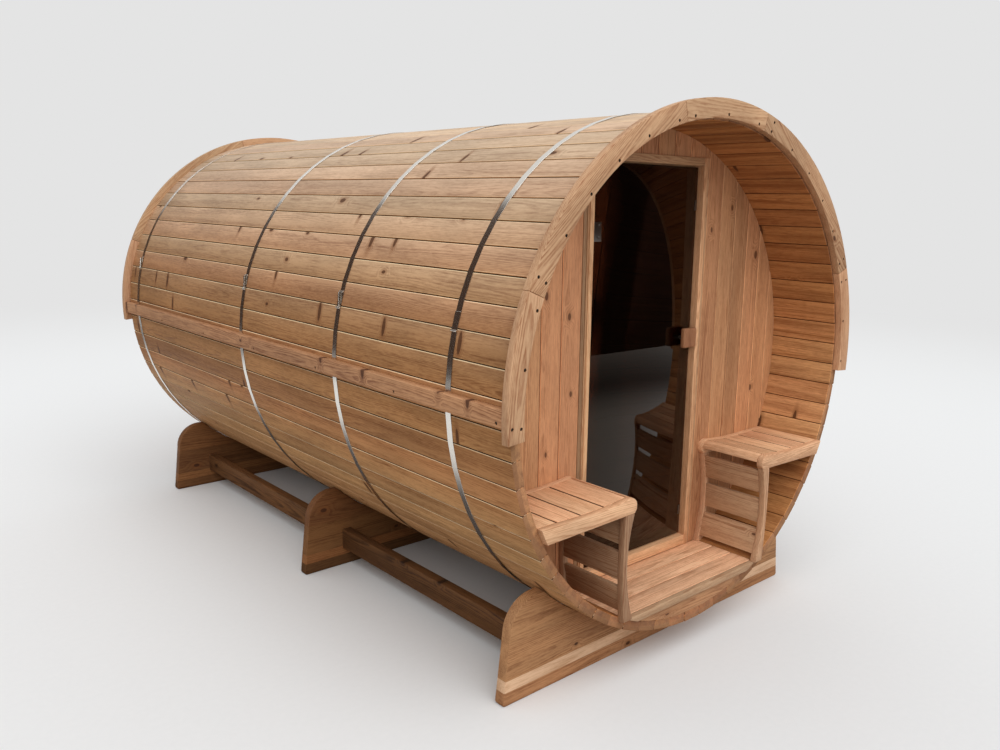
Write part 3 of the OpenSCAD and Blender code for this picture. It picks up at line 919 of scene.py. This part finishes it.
def make_floor_boards(node, name, widths):
    """Floor boards that run across the barrel, with eased edges. The last width repeats."""
    low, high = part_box(node)
    bore = barrel_bore(low.y, high.y)
    boards = []
    y = low.y
    while y < high.y - REACH:
        end = min(high.y, y + widths[min(len(boards), len(widths) - 1)])
        board = block("floor_board", (low.x - REACH, y, low.z), (high.x + REACH, end, high.z))
        eased(board, lambda p, q: abs(p.y - q.y) < SAME and abs(p.z - q.z) < SAME, 0.0032, 2)
        trim(board, bore, "INTERSECT", keep_cutter=True)
        # The first board takes the weather at the edge of the floor, and is darker
        tone = chance.uniform(0.65, 1) if boards else 0.0
        # The sides and undersides, all but the front edge, get painted shade in the gaps
        boards.append(grained(
            board, FLOOR_WOOD, ACROSS, UPRIGHT, tone=tone,
            wear_and_painted_light=lambda p: SHADED_JOINT if p.z < high.z - 0.002 and p.y > low.y + SAME else PLAIN))
        y = end
    bpy.data.objects.remove(bore)
    installed(name, boards, [node])


make_floor_boards("porch_floor", "porch_floor_boards", (0.026, 0.098))
make_floor_boards("room_floor", "room_floor_boards", (0.098,))


def make_apron():
    """Two short boards that close the space under the edge of the porch floor."""
    low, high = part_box("porch_apron")
    bore = barrel_bore(low.y, high.y)
    boards = []
    for k in range(2):
        z0 = low.z + (high.z - low.z) * k / 2
        z1 = low.z + (high.z - low.z) * (k + 1) / 2
        board = soften(block("apron_board", (low.x, low.y, z0), (high.x, high.y, z1)), 0.0018)
        trim(board, bore, "INTERSECT", keep_cutter=True)
        boards.append(grained(board, WALL_WOOD, ACROSS, FORWARDS, tone=0.2))
    bpy.data.objects.remove(bore)
    installed("porch_apron_boards", boards, ["porch_apron"])


make_apron()


# ---------- Door frame ----------

GLASS_LOW, GLASS_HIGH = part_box("door_glass")
# The stop that the glass closes against: its front, and its width
STOP_Y = GLASS_HIGH.y + 0.005
STOP_W = 0.012
# A jamb's recess and the strip beside it, both darker with painted shade: their widths and how far
# they stand back
RECESS_W, RECESS_DEPTH = 0.017, 0.008
SHADE_W, SHADE_DEPTH = 0.025, 0.004


def make_jamb(side, word):
    """A jamb with a raised pale strip beside the glass, and a recess beside the wall darkened with
    painted shade.
    """
    low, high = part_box("door_jamb_" + word)
    near, far = sorted((abs(low.x), abs(high.x)))
    inner = near + STOP_W
    # The strips beside the wall stand further back, and are darker with painted shade, most of all
    # on the left
    shade, recess = (0.48, 0.18) if side < 0 else (0.75, 0.5)
    strips = (
        (inner, far - SHADE_W, low.y, 0.9),
        (far - SHADE_W, far - RECESS_W, low.y + SHADE_DEPTH, shade),
        (far - RECESS_W, far, low.y + RECESS_DEPTH, recess),
        (near, inner, STOP_Y, 0.7),
    )
    parts = []
    for x0, x1, y0, tone in strips:
        strip = block("strip", (side * x0, y0, low.z), (side * x1, high.y, high.z))
        parts.append(grained(soften(strip, 0.0012), FRAME_WOOD, UPRIGHT, FORWARDS, tone=tone))
    installed("frame_jamb_" + word, parts, ["door_jamb_" + word])


def make_rail_of_frame(node, name, up):
    """The header or the sill, with its stop behind the glass."""
    low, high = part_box(node)
    # The sill leaves a thin gap over the floor
    z0, z1 = (low.z + STOP_W, high.z) if up else (low.z + 0.003, high.z - STOP_W)
    body = block("rail", (low.x, low.y, z0), (high.x, STOP_Y, z1))
    stop = block("stop", (low.x + STOP_W, STOP_Y, low.z), (high.x - STOP_W, high.y, high.z))
    tone = 0.4 if up else 0.97
    parts = [grained(soften(part, 0.0028), FRAME_WOOD, ACROSS, FORWARDS, tone=tone)
             for part in (body, stop)]
    installed(name, parts, [node])


make_jamb(-1, "left")
make_jamb(1, "right")
make_rail_of_frame("door_header", "frame_header", True)
make_rail_of_frame("door_sill", "frame_sill", False)


# ---------- Door ----------

# The catch plates over the glass: distances from its foot and top, size and thickness
CATCH_LOW, CATCH_HIGH = 0.109, 0.151
CATCH_W, CATCH_HALF, CATCH_T = 0.012, 0.021, 0.0012


def make_glass():
    """The toughened glass with ground edges, and two catch plates clipped over its free edge."""
    glass = painted(soften(block("pane", GLASS_LOW, GLASS_HIGH), 0.0012, 2), BRONZE_GLASS)
    installed("glass_door_pane", [glass], ["door_glass"], body="door")
    plates = []
    for z in (GLASS_LOW.z + CATCH_LOW, GLASS_HIGH.z - CATCH_HIGH):
        clip = block("clip", (GLASS_HIGH.x - CATCH_W, GLASS_LOW.y - CATCH_T, z - CATCH_HALF),
                     (GLASS_HIGH.x + CATCH_T, GLASS_HIGH.y + CATCH_T, z + CATCH_HALF))
        plates.append(painted(soften(clip, 0.0008, 2), HINGE_STEEL))
    installed("glass_catch_plates", plates, body="door")


HANDLE_BLOCK_T = 0.024
# The inner block is shorter, so that it clears the stop
INNER_BLOCK_SHORTER = 0.011
SPACER_R, SPACER_INSET = 0.008, 0.020


def make_handle():
    """Two wooden blocks, one on each side of the glass, on steel spacers."""
    low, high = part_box("door_handle")
    outer_y, inner_y = low.y + HANDLE_BLOCK_T, high.y - HANDLE_BLOCK_T
    reach = high.x - INNER_BLOCK_SHORTER
    parts = []
    # The inner block, behind the dark glass, gets a far paler tone than the outer one: painted
    # light
    for x1, y0, y1, tone in ((high.x, low.y, outer_y, 0.1), (reach, inner_y, high.y, 1.0)):
        grip = soften(block("grip", (low.x, y0, low.z), (x1, y1, high.z)), 0.008, 4)
        parts.append(grained(grip, HANDLE_WOOD, UPRIGHT, FORWARDS, tone=tone))
    middle = (low.z + high.z) / 2
    for x in (low.x + SPACER_INSET, reach - SPACER_INSET):
        for y0, y1 in ((outer_y, GLASS_LOW.y), (GLASS_HIGH.y, inner_y)):
            spacer = rod("spacer", (x, (y0 + y1) / 2, middle), SPACER_R, y1 - y0, sides=24)
            parts.append(painted(soften(spacer, 0.0006, 1, 60), HINGE_STEEL))
    installed("handle_blocks", parts, ["door_handle"], body="door")


make_glass()
make_handle()


HINGE_H = 0.072
KNUCKLE_R = 0.006
PIN_R = 0.0025
JAMB_W = 0.046
# Half of the gap between the fixed and the moving half of a hinge
HINGE_GAP = 0.001
PIN_OFF = 0.009
STUD_R, STUD_RISE, STUD_INSET = 0.0055, 0.022, 0.016


def make_hinges():
    """Brackets on the jamb and clamps on the glass, each with its knuckle on a shared pin."""
    low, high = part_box("hinge_brackets")
    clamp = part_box("hinge_clamps")[1]
    pane = GLASS_LOW
    pin = Vector((pane.x, pane.y - PIN_OFF, 0))
    half = HINGE_H / 2
    # The back plate starts just past the stop
    back_x = -FRAME_HALF + JAMB_W + STOP_W + 0.009
    fixed, moving = [], []

    def knuckle(z):
        return rod("knuckle", (pin.x, pin.y, z), KNUCKLE_R, half - HINGE_GAP, "Z")

    for z in (low.z + half, high.z + 0.002 - half):
        z0, z1 = z - half, z + half
        leaf = block("leaf", (low.x, low.y, z0), (low.x + 0.003, low.y + 0.013, z1))
        web = block("web", (low.x, pin.y - KNUCKLE_R - 0.003, z0), (pin.x, pin.y, z - HINGE_GAP))
        lower = knuckle(z - HINGE_H / 4 - HINGE_GAP / 2)
        axle = rod("pin", (pin.x, pin.y, z - 0.001), PIN_R, HINGE_H - 0.002, "Z", 24)
        for part in (leaf, web, lower, axle):
            fixed.append(painted(soften(part, 0.0006, 2), HINGE_STEEL))
        front = block("plate", (pin.x + 0.008, pane.y - 0.004, z0), (clamp.x, pane.y, z1))
        arm = block("arm", (pin.x, pin.y + 0.0026, z + HINGE_GAP),
                    (pin.x + 0.012, pane.y - 0.0005, z1))
        upper = knuckle(z + HINGE_H / 4 + HINGE_GAP / 2)
        trim(upper, rod("bore", (pin.x, pin.y, z), PIN_R + 0.0001, HINGE_H * 1.5, "Z", 24))
        back = block("plate", (back_x, GLASS_HIGH.y, z0), (clamp.x, clamp.y, z1))
        for part in (front, arm, upper, back):
            moving.append(painted(soften(part, 0.0009, 2), HINGE_STEEL))
        x = clamp.x - STUD_INSET
        for stud_z in (z - STUD_RISE, z + STUD_RISE):
            stud = rod("stud", (x, pane.y - 0.0045, stud_z), STUD_R, 0.002, sides=20)
            shape(stud, lambda c, n: n.y < -0.9, bpy.ops.mesh.inset, thickness=0.0025)
            shape(stud, lambda c, n: n.y < -0.9 and math.hypot(c.x - x, c.z - stud_z) < 0.0001,
                  bpy.ops.transform.translate, value=(0, 0.0012, 0))
            moving.append(painted(stud, HINGE_STEEL))
    installed("hinge_bracket_pair", fixed, ["hinge_brackets"])
    installed("hinge_clamp_pair", moving, ["hinge_clamps"], body="door")


make_hinges()


# ---------- Porch benches, made on the right and mirrored for the left ----------

NOSE_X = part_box("right_bench_seat")[0].x
SEAT_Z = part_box("right_bench_front_frame")[1].z
FLOOR_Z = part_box("porch_floor")[1].z
NOSE_R = 0.032
NOSE_END = NOSE_X + NOSE_R
SEAT_RAIL_H = 0.060
LEG_TOP_Z = SEAT_Z - SEAT_RAIL_H
SLAT_T = 0.020
# How far the seat falls towards the barrel, and how deep it is dished
SEAT_FALL, SEAT_DISH = 0.014, 0.016
# How far the leg's top is set back from the nose, its width, and the bow of each edge
LEG_SET_BACK, LEG_W = 0.010, 0.047
FRONT_BOW, BACK_BOW, FOOT_SPREAD = 0.034, 0.008, 0.003
# The first slat under the nose, the other seat slats and the skirt slats
NOSE_SLAT_W, SEAT_SLAT_W, SEAT_GAP = 0.031, 0.104, 0.008
SKIRT_SLAT_H, SKIRT_GAP, SKIRT_INSET = 0.104, 0.030, 0.004
# A hair's room, which keeps a bench inside its box
CLEAR = 0.0002


def seat_top(x):
    """Height of the seat: level over the nose, then dished, and lower at the barrel."""
    t = max(0.0, (x - NOSE_END) / (INNER_R - NOSE_END))
    return SEAT_Z - SEAT_FALL * t - SEAT_DISH * 4 * t * (1 - t) * (1 - t)


def rounded_top(x):
    """Height of the seat where its nose is rounded off too."""
    d = max(0.0, NOSE_END - x)
    return seat_top(x) - NOSE_R + math.sqrt(max(0.0, NOSE_R ** 2 - d ** 2))


def down_leg(z):
    """0 at the top of a leg and 1 at its foot."""
    return (LEG_TOP_Z - z) / (LEG_TOP_Z - FLOOR_Z)


def leg_front(z):
    t = down_leg(z)
    return NOSE_X + LEG_SET_BACK * (1 - t) + FRONT_BOW * 4 * t * (1 - t)


def leg_back(z):
    t = down_leg(z)
    return (NOSE_X + LEG_SET_BACK * (1 - t) + LEG_W + FOOT_SPREAD * t
            + BACK_BOW * 4 * t * (1 - t))


def mirrored(ob, side):
    """The piece itself on the right, or turned over to the left."""
    if side > 0:
        return ob
    return outwards(move_corners(ob, lambda p: Vector((-p.x, p.y, p.z))))


def curved_bar(name, x0, x1, y0, y1, under, steps):
    """A bar along X with the seat's rounded top, whose underside follows a curve."""
    bar = block(name, (x0, y0, 0), (x1, y1, 1))
    for k in range(1, steps):
        # Closer cuts where the nose is round
        x = x0 + (x1 - x0) * (k / steps) ** 1.6
        slice_at(bar, (x, 0, 0), ACROSS)
    return move_corners(
        bar, lambda p: Vector((p.x, p.y, rounded_top(p.x) if p.z > 0.5 else under(p.x))))


def bench_frame(side, y0, y1):
    """A seat rail with a rounded nose, on a curved leg."""
    bore = barrel_bore(y0, y1)
    foot = leg_front(LEG_TOP_Z)

    def rail_under(x):
        if x < foot:
            return LEG_TOP_Z + NOSE_R * (1 - (x - NOSE_X) / (foot - NOSE_X)) * 0.5
        slope = (x - foot) / (INNER_R - foot)
        return LEG_TOP_Z + (seat_top(INNER_R) - SEAT_RAIL_H - LEG_TOP_Z) * slope

    rail = curved_bar("seat_rail", NOSE_X + CLEAR, INNER_R, y0, y1, rail_under, 24)
    trim(soften(rail, 0.003, 2, 40), bore, "INTERSECT")
    leg = block("leg", (0, y0, FLOOR_Z), (1, y1, LEG_TOP_Z))
    cuts = 14
    for k in range(1, cuts):
        slice_at(leg, (0, 0, FLOOR_Z + (LEG_TOP_Z - FLOOR_Z) * k / cuts), UPRIGHT)
    move_corners(leg, lambda p: Vector((leg_front(p.z) if p.x < 0.5 else leg_back(p.z), p.y, p.z)))
    soften(leg, 0.003, 2, 40)
    rail = grained(mirrored(rail, side), BENCH_WOOD, ACROSS, FORWARDS, tone=0.80)
    # The left bench's legs get painted shade: a darker tone
    tone = 0.30 + 0.15 * side
    leg = grained(mirrored(leg, side), BENCH_WOOD, UPRIGHT, FORWARDS, tone=tone)
    return [rail, leg]


def seat_slat(side, x0, x1, y0, y1):
    """A seat slat whose top follows the dish of the seat."""
    under = seat_top(x0) - (SLAT_T if x0 > NOSE_END else NOSE_R)
    bore = barrel_bore(y0, y1)
    slat = curved_bar("seat_slat", x0, x1, y0, y1, lambda x: under, 8)
    trim(soften(slat, 0.002, 2, 40), bore, "INTERSECT")

    # Past the nose, below the top, each slat gets painted shade: in the gaps and underneath
    def wear_and_painted_light(p):
        past_nose = abs(p.x) > min(x1 - SAME, NOSE_END)
        return SHADED_JOINT if past_nose and p.z < seat_top(abs(p.x)) - 0.0015 else PLAIN

    tone = chance.uniform(0.70, 0.95)
    return grained(mirrored(slat, side), BENCH_WOOD, LENGTHWISE, UPRIGHT, tone=tone, wear_and_painted_light=wear_and_painted_light)


def make_bench(side, word):
    """A bench: two frames, a nose slat, three wide slats and one cut to the barrel, and a skirt."""
    front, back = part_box(word + "_bench_front_frame"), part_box(word + "_bench_back_frame")
    for end, box in (("front_frame", front), ("back_frame", back)):
        node = f"{word}_bench_{end}"
        installed(node + "_wood", bench_frame(side, box[0].y, box[1].y), [node])
    y0, y1 = front[1].y, back[0].y
    slats = [seat_slat(side, NOSE_X + CLEAR, NOSE_X + NOSE_SLAT_W, y0, y1)]
    x = NOSE_X + NOSE_SLAT_W + SEAT_GAP
    for _ in range(3):
        slats.append(seat_slat(side, x, x + SEAT_SLAT_W, y0, y1))
        x += SEAT_SLAT_W + SEAT_GAP
    slats.append(seat_slat(side, x, INNER_R, y0, y1))
    installed(word + "_bench_seat_slats", slats, [word + "_bench_seat"])
    skirt = []
    for k in range(3):
        z0 = FLOOR_Z + SKIRT_GAP + k * (SKIRT_SLAT_H + SKIRT_GAP)
        slat = block("skirt_slat", (0, y0, z0), (SLAT_T, y1, z0 + SKIRT_SLAT_H))
        move_corners(slat, lambda p: Vector((p.x + leg_front(p.z) + SKIRT_INSET, p.y, p.z)))
        soften(slat, 0.002)
        # The left skirt gets painted shade too: a darker tone
        tone = 0.28 + 0.14 * side + chance.uniform(-0.05, 0.05)
        slat = mirrored(slat, side)
        skirt.append(grained(slat, BENCH_WOOD, LENGTHWISE, (-side, 0, 0), tone=tone))
    installed(word + "_bench_skirt_slats", skirt, [word + "_bench_skirt"])


make_bench(-1, "left")
make_bench(1, "right")


# ---------- Cradles and rails ----------

CRADLES = ("front_cradle", "middle_cradle", "rear_cradle")
CRADLE_H = 0.384
# Heights of the glued joints, and the tone of each board from the lowest up
CRADLE_SEAMS = (0.052, 0.095, 0.232)
CRADLE_TONES = (0.66, 0.97, 0.74, 0.74)
# The ends lean in, the shoulders are round, and so is the foot
LEAN, SHOULDER_R, FOOT_R = 0.030, 0.130, 0.012
END_ZONE = 0.2


def make_cradle(node):
    """Boards glued edge to edge, sawn round to carry the barrel, with rounded shoulders."""
    low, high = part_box(node)
    front = node == CRADLES[0]
    blank = block("cradle_blank", (low.x, low.y, 0), (high.x, high.y, CRADLE_H))

    def at_top(p, q):
        return abs(p.x - q.x) < SAME and min(p.z, q.z) > CRADLE_H - SAME

    def at_foot(p, q):
        return abs(p.x - q.x) < SAME and max(p.z, q.z) < SAME

    def lean_in(p):
        # Both ends lean in from the foot to where the shoulder starts to turn
        share = min(1.0, p.z / (CRADLE_H - SHOULDER_R)) * LEAN
        x = p.x - math.copysign(share, p.x) if abs(p.x) > high.x - END_ZONE else p.x
        return Vector((x, p.y, p.z))

    eased(blank, at_top, SHOULDER_R, 12)
    eased(blank, at_foot, FOOT_R, 3)
    move_corners(blank, lean_in)
    carry = BARREL_R / math.cos(STAVE_A / 2) + 0.0003
    trim(blank, rod("barrel_cut", (0, (low.y + high.y) / 2, AXIS.z), carry, 0.2, sides=256))
    soften(blank, 0.004, 2, 50)
    parts = []
    edges = (-REACH, *CRADLE_SEAMS, CRADLE_H + REACH)
    for z0, z1, tone in zip(edges, edges[1:], CRADLE_TONES):
        board = copy_of(blank)
        if z0 > 0:
            slice_at(board, (0, 0, z0), UPRIGHT, use_fill=True, clear_inner=True)
        if z1 < CRADLE_H:
            slice_at(board, (0, 0, z1), UPRIGHT, use_fill=True, clear_outer=True)
        # The front cradle is paler, with one board of new wood; the others under the barrel get
        # painted shade, a lower tone and the shaded wood
        tone += chance.uniform(-0.06, 0.06) - (0.0 if front else 0.6)
        pale = z0 == CRADLE_SEAMS[0]
        wood = SHADED_CRADLE_WOOD if not front else PALE_CRADLE_WOOD if pale else CRADLE_WOOD
        parts.append(grained(board, wood, ACROSS, FORWARDS, tone=tone))
    bpy.data.objects.remove(blank)
    installed(node + "_boards", parts, [node])


for node in CRADLES:
    make_cradle(node)


def make_rails(side, word):
    """The two rails between the cradles on one side."""
    low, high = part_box(word + "_rails")
    cradles = [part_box(node) for node in CRADLES]
    parts = []
    for front, back in zip(cradles, cradles[1:]):
        rail = block("rail", (low.x, front[1].y, low.z), (high.x, back[0].y, high.z))
        parts.append(grained(soften(rail, 0.003), RAIL_WOOD, LENGTHWISE, (side, 0, 0)))
    installed(word + "_rail_boards", parts, [word + "_rails"])


make_rails(-1, "left")
make_rails(1, "right")
bpy.data.objects.remove(SCREW)


# ---------- Camera, light and studio ----------

def make_camera():
    """A camera in front of the left corner, which looks at the porch and the left side."""
    yaw, pitch, roll = 0.7432, -0.2062, 0.0189
    level = Vector((math.cos(yaw), -math.sin(yaw), 0))
    ahead = Vector((math.sin(yaw), math.cos(yaw), 0))
    forward = ahead * math.cos(pitch) + Vector((0, 0, math.sin(pitch)))
    upright = level.cross(forward)
    right = level * math.cos(roll) + upright * math.sin(roll)
    up = upright * math.cos(roll) - level * math.sin(roll)
    turn = Matrix((right, up, -forward)).transposed().to_euler()
    bpy.ops.object.camera_add(location=(-2.6305, -3.6140, 1.7316), rotation=turn)
    camera = bpy.context.object
    camera.name = "front_left_camera"
    camera.data.sensor_width = 36
    camera.data.lens = 31.09
    camera.data.shift_x = -0.0352
    camera.data.shift_y = 0.0077
    camera.data.dof.use_dof = False
    bpy.context.scene.camera = camera


BACKDROP_GREY = tint(228, 228, 228)
CURTAIN_BROWN = tint(50, 32, 22)


def make_world():
    """An even sky for light, and a pale backdrop for what the camera, metal and glass see."""
    world = bpy.data.worlds.new("studio_sky")
    bpy.context.scene.world = world
    world.use_nodes = True
    tree = world.node_tree
    tree.nodes.clear()
    path = add(tree, "LightPath")
    seen = calc(tree, "MAXIMUM", path.outputs["Is Camera Ray"], path.outputs["Is Glossy Ray"])
    seen = calc(tree, "MAXIMUM", seen, path.outputs["Is Transmission Ray"])
    sky = add(tree, "Background", {0: (0.97, 0.99, 1.0, 1.0), 1: 0.67})
    backdrop = add(tree, "Background", {0: BACKDROP_GREY, 1: 1.0})
    mix = add(tree, "MixShader", {0: seen, 1: sky.outputs[0], 2: backdrop.outputs[0]})
    output = add(tree, "OutputWorld")
    tree.links.new(mix.outputs[0], output.inputs[0])


def make_floor():
    """A pale floor that keeps the shadow, and throws back less light than it shows."""
    select_none()
    bpy.ops.mesh.primitive_plane_add(size=160, location=(0, 0, 0))
    floor = named("studio_floor")
    material = bpy.data.materials.new("studio_floor_paint")
    material.use_nodes = True
    tree = material.node_tree
    tree.nodes.clear()
    path = add(tree, "LightPath")
    place = add(tree, "TexCoord").outputs["Object"]
    speckle = cloudy(tree, place, scale=40.0, detail=4.0).outputs[0]
    pale = blend(tree, speckle, tint(234, 234, 234), tint(238, 238, 238))
    colour = blend(tree, path.outputs["Is Diffuse Ray"], pale, tint(168, 158, 148))
    # Far from the object the floor runs into the backdrop, and into the curtain in reflections
    away = add(tree, "VectorMath", {0: place}, operation="LENGTH").outputs["Value"]
    apart = add(tree, "VectorMath", {0: place}, operation="ABSOLUTE").outputs[0]
    x, y, _ = add(tree, "SeparateXYZ", {0: apart}).outputs
    # Close under the barrel's sides the floor is darker for glossy rays: painted shade that the
    # hoops reflect
    under = times(tree, fade(tree, x, 1.75, 1.15), fade(tree, y, 1.9, 1.6, 0.0, 0.9))
    dim = calc(tree, "MAXIMUM", fade(tree, away, 3.6, 5.8, 0.0, 0.9), under)
    dim = times(tree, dim, path.outputs["Is Glossy Ray"])
    paint = add(tree, "BsdfDiffuse", {0: blend(tree, dim, colour, CURTAIN_BROWN)})
    glow = add(tree, "Emission", {0: BACKDROP_GREY, 1: 1.0})
    far = fade(tree, away, 4.0, 12.0)
    mix = add(tree, "MixShader", {0: far, 1: paint.outputs[0], 2: glow.outputs[0]})
    output = add(tree, "OutputMaterial")
    tree.links.new(mix.outputs[0], output.inputs[0])
    painted(floor, material)


def make_reflected_curtain():
    """A dark curtain that only reflections see, open towards the back on the right."""
    select_none()
    bpy.ops.mesh.primitive_cylinder_add(
        vertices=64, radius=9.0, depth=12.0, location=(0, 0, 6.0), end_fill_type="NOTHING")
    curtain = named("reflected_curtain")
    shape(curtain, lambda c, n: c.x > -2 and c.y > -1, bpy.ops.mesh.delete, type="FACE")
    material, tree, shader = new_surface("curtain_cloth")
    place = add(tree, "TexCoord").outputs["Object"]
    folds = clouds(tree, place, 2.0, 2.0, 0.2)
    cloth = blend(tree, folds, CURTAIN_BROWN, tint(82, 58, 42))
    tree.links.new(cloth, shader.inputs["Base Color"])
    shader.inputs["Roughness"].default_value = 0.9
    painted(curtain, material)
    curtain.visible_camera = False
    curtain.visible_diffuse = False
    curtain.visible_shadow = False
    curtain.visible_transmission = False


def make_lamps():
    """One broad soft light, high in front."""
    select_none()
    bpy.ops.object.light_add(type="SUN", location=(-1.8, -5.2, 7.2))
    lamp = bpy.context.object
    lamp.name = "soft_key"
    lamp.data.angle = math.radians(70)
    lamp.data.energy = 1.55
    aim = Vector((0, -0.6, 1.0)) - lamp.location
    lamp.rotation_euler = aim.to_track_quat("-Z", "Y").to_euler()


make_camera()
make_world()
make_floor()
make_reflected_curtain()
make_lamps()
bpy.context.scene.view_settings.view_transform = "Standard"
